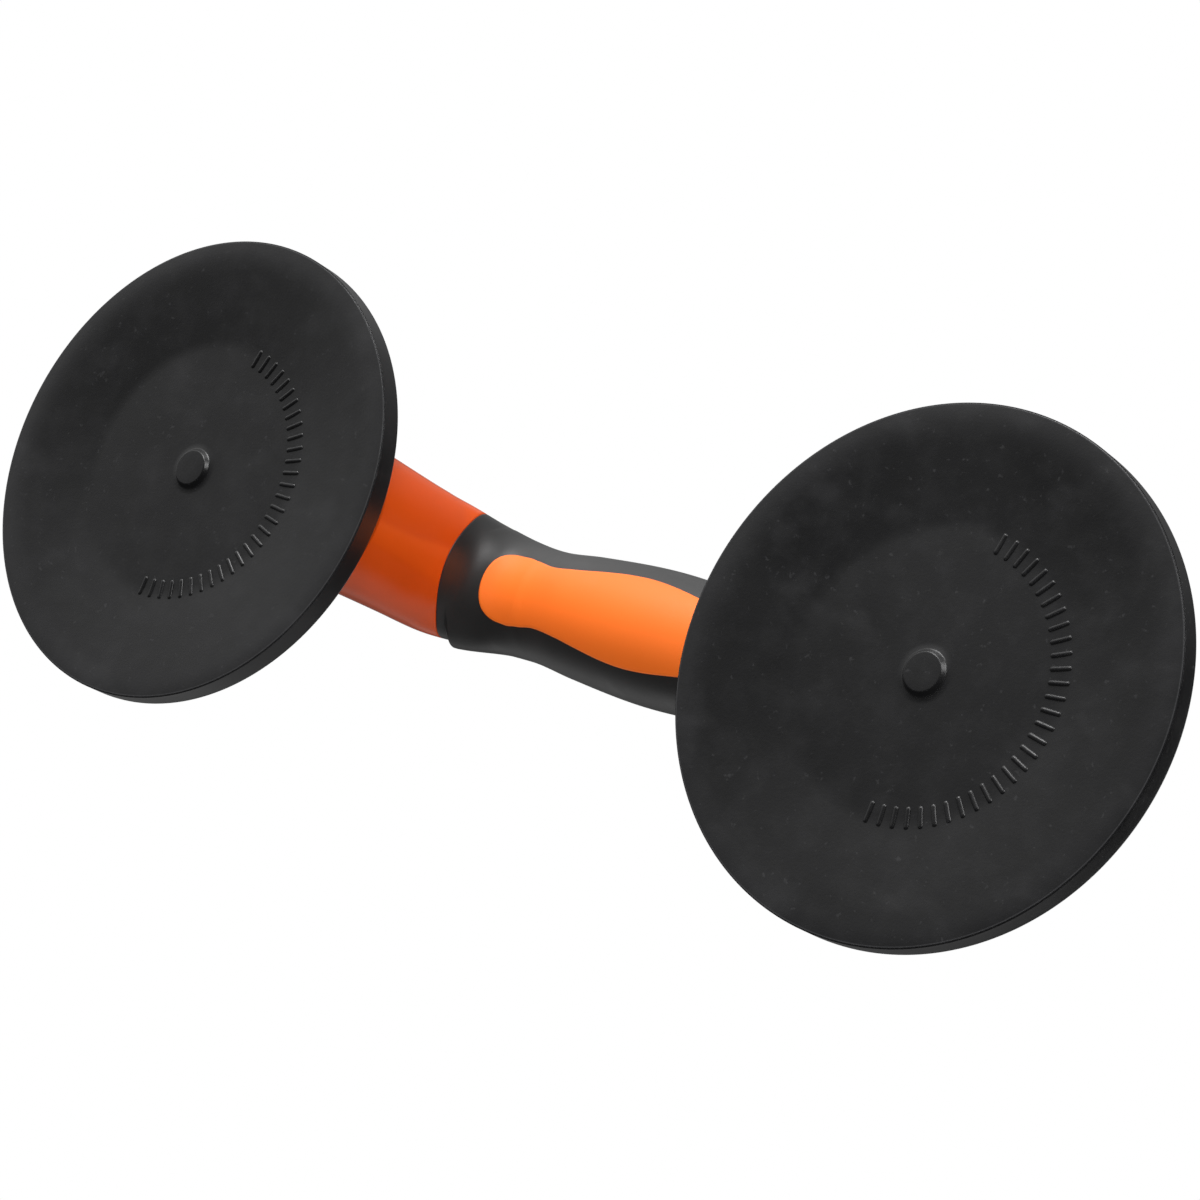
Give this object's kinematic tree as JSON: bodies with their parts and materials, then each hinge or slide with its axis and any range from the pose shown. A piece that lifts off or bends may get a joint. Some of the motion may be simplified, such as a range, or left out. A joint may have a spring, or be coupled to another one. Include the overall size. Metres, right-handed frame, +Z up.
{
  "type": "glass suction cup lifter",
  "caption": "Twin suction disc lifter: an arch handle with a soft grip joins rubber discs that small cam levers pull into vacuum on glass or tile.",
  "frame": {"origin": "midway between the two discs, on the plane that their lips rest on", "axes": "+X along the length towards the right-hand disc, +Z up from the glass towards the handle"},
  "size_m": [0.34, 0.12, 0.0791],
  "materials": {
    "glossy_housing_plastic": "glossy deep orange moulding",
    "black_grip_rubber": "satin black overmould",
    "orange_grip_rubber": "matte bright orange overmould",
    "disc_rubber": "matte moulded black rubber",
    "black_nylon": "fine-textured moulding",
    "plated_steel": "bright zinc plate",
    "spring_steel": "plain spring wire"
  },
  "bodies": {
    "body": {"frame": "glossy_housing_plastic", "grip_sleeve": "black_grip_rubber", "grip_inlay_lower": "orange_grip_rubber", "grip_inlay_upper": "orange_grip_rubber", "right_suction_disc": "disc_rubber", "left_suction_disc": "disc_rubber", "right_wear_plate": "plated_steel", "left_wear_plate": "plated_steel", "right_plate_screws": "plated_steel", "left_plate_screws": "plated_steel"},
    "right_core": {"right_disc_insert": "plated_steel", "right_return_spring": "spring_steel", "right_lever_pin": "plated_steel", "right_pin_clip": "spring_steel"},
    "right_lever": {"right_lever": "black_nylon"},
    "left_core": {"left_disc_insert": "plated_steel", "left_return_spring": "spring_steel", "left_lever_pin": "plated_steel", "left_pin_clip": "spring_steel"},
    "left_lever": {"left_lever": "black_nylon"}
  },
  "joints": [
    {"name": "right_core_slide", "type": "slide", "parent": "body", "child": "right_core", "axis": [0, 0, 1], "range_m": [-0.0015, 0], "deforming": ["right_suction_disc", "right_return_spring"]},
    {"name": "right_lever_hinge", "type": "hinge", "parent": "right_core", "child": "right_lever", "pos_m": [0.11, 0, 0.034], "axis": [0, -1, 0], "range_deg": [0, 85]},
    {"name": "left_core_slide", "type": "slide", "parent": "body", "child": "left_core", "axis": [0, 0, 1], "range_m": [-0.0015, 0], "deforming": ["left_suction_disc", "left_return_spring"]},
    {"name": "left_lever_hinge", "type": "hinge", "parent": "left_core", "child": "left_lever", "pos_m": [-0.11, 0, 0.034], "axis": [0, 1, 0], "range_deg": [0, 85]}
  ],
  "couplings": [
    {"joint": "right_lever_hinge", "follows": "right_core_slide", "rad_per_m": -989},
    {"joint": "left_lever_hinge", "follows": "left_core_slide", "rad_per_m": -989}
  ]
}
